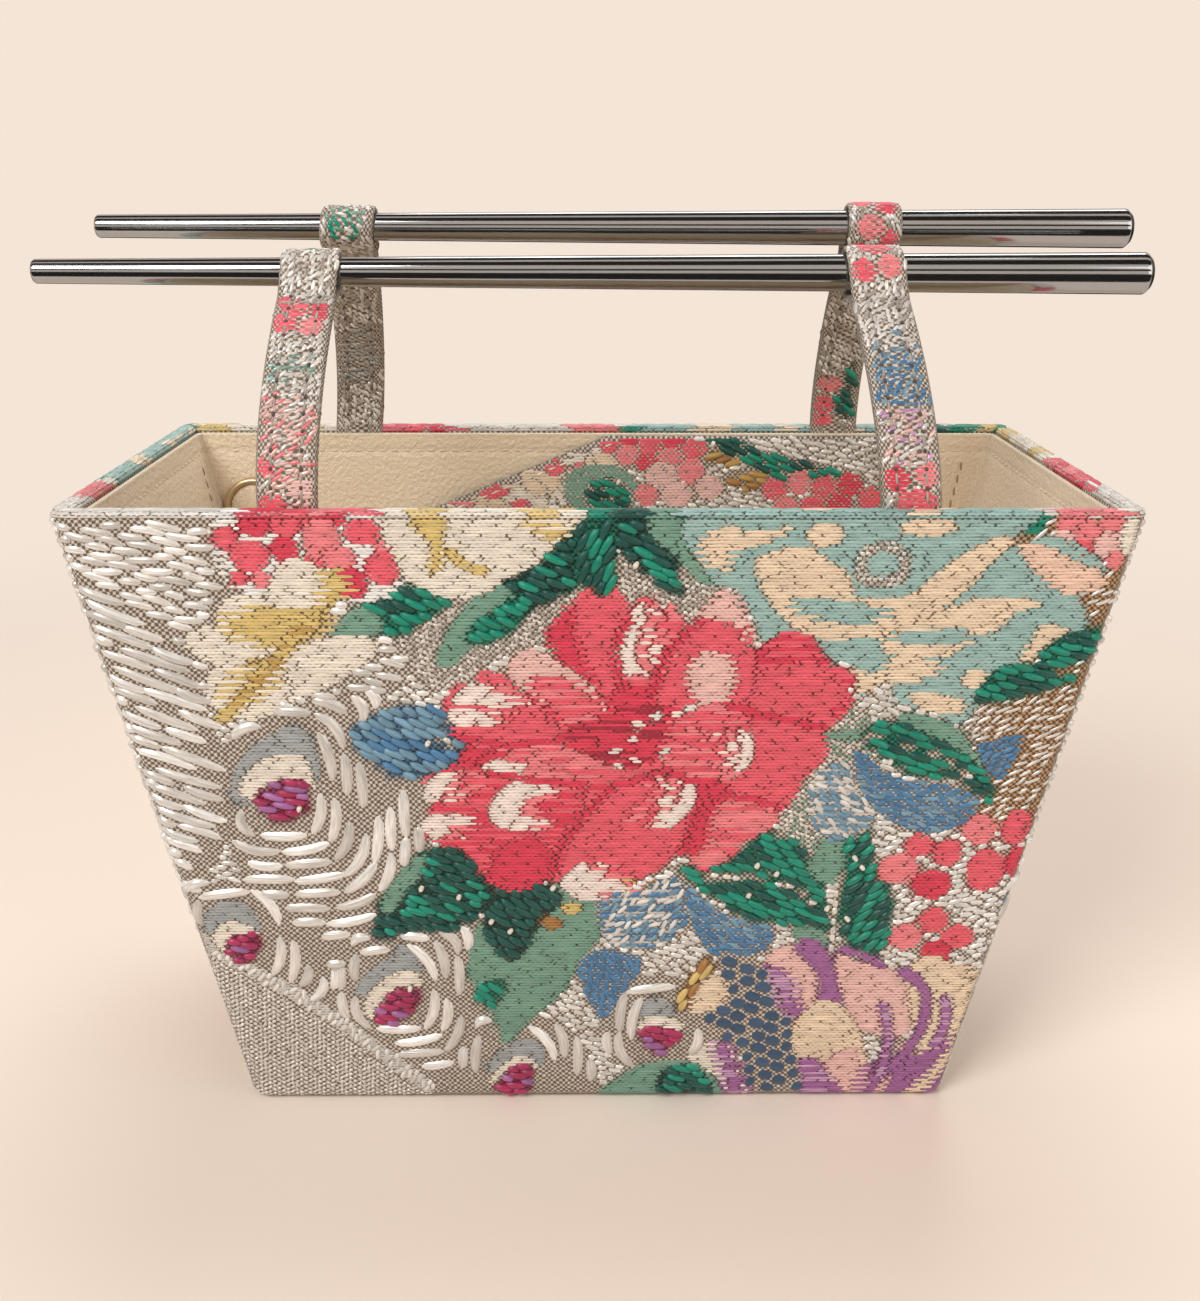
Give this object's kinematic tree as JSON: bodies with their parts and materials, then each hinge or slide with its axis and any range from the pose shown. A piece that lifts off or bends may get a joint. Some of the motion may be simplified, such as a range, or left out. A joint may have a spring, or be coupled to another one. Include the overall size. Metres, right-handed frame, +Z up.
{
  "type": "chopstick-handled brocade handbag",
  "caption": "Small flared open-top handbag of floral brocade over stiff board with a satin lining, carried by tapered steel chopsticks held in fabric strap loops.",
  "frame": {"origin": "middle of the base, on the surface that the bag stands on", "axes": "+X along the chopsticks towards their thick ends, +Y from the front wall to the back wall, +Z up"},
  "size_m": [0.24, 0.0978, 0.2025],
  "materials": {
    "brocade": "silver-ground brocade with raised floral floats",
    "board": "plain grey board, hidden",
    "satin": "champagne satin with a soft sheen",
    "steel": "polished stainless steel",
    "gilt": "satin champagne plating"
  },
  "bodies": {
    "bag": {"outer_cover": "brocade", "front_board": "board", "back_board": "board", "left_board": "board", "right_board": "board", "base_board": "board", "lining": "satin", "snap_cap": "gilt", "snap_back_plate": "gilt", "inner_pocket": "brocade", "strap_front_left": "brocade", "strap_front_right": "brocade", "strap_back_left": "brocade", "strap_back_right": "brocade"},
    "front_stick": {"chopstick_front": "steel"},
    "back_stick": {"chopstick_back": "steel"}
  },
  "joints": [
    {"name": "front_stick_slide", "type": "slide", "parent": "bag", "child": "front_stick", "axis": [1, 0, 0], "range_m": [0, 0.185]},
    {"name": "back_stick_slide", "type": "slide", "parent": "bag", "child": "back_stick", "axis": [1, 0, 0], "range_m": [0, 0.185]}
  ]
}
